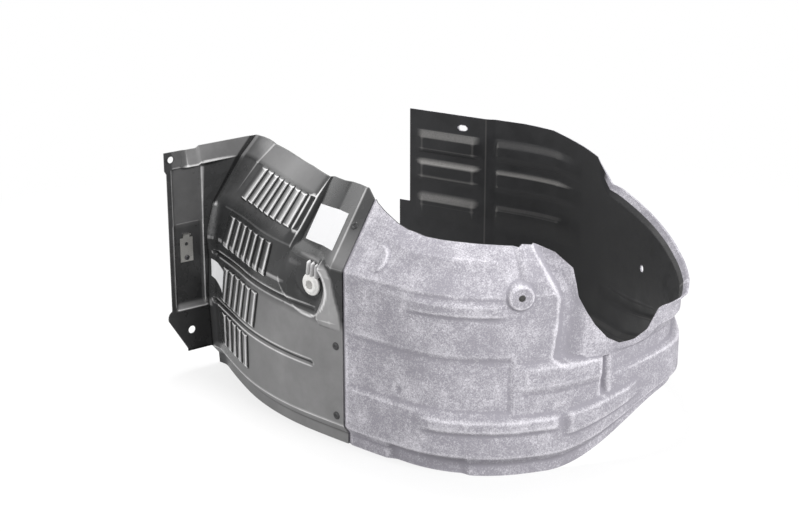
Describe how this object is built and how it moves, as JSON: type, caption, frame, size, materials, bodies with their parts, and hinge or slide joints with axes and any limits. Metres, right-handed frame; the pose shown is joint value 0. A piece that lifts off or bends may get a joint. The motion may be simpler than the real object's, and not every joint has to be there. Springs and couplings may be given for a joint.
{
  "type": "wheel arch liner",
  "caption": "Moulded felt wheel arch liner with a riveted, louvred plastic front panel, side flange, strut cut-out and fixing holes.",
  "frame": {"origin": "wheel axis, on the plane of the liner's outer edge", "axes": "+Z along the wheel axis towards the car's middle, +X towards the top of the arch, +Y towards the rear leg"},
  "size_m": [0.9044, 0.7695, 0.4317],
  "materials": {
    "felt": "pale grey needle felt, black on the inside",
    "black_plastic": "satin black moulded plastic",
    "pale_plastic": "matt off-white",
    "rivet_plastic": "matt black",
    "spring_steel": "zinc plated",
    "dark_screw": "black zinc"
  },
  "bodies": {
    "root": {"felt_shell": "felt", "front_panel": "black_plastic", "grommet": "pale_plastic", "panel_rivets": "rivet_plastic", "spring_clip": "spring_steel", "clip_screw": "dark_screw"}
  },
  "joints": []
}
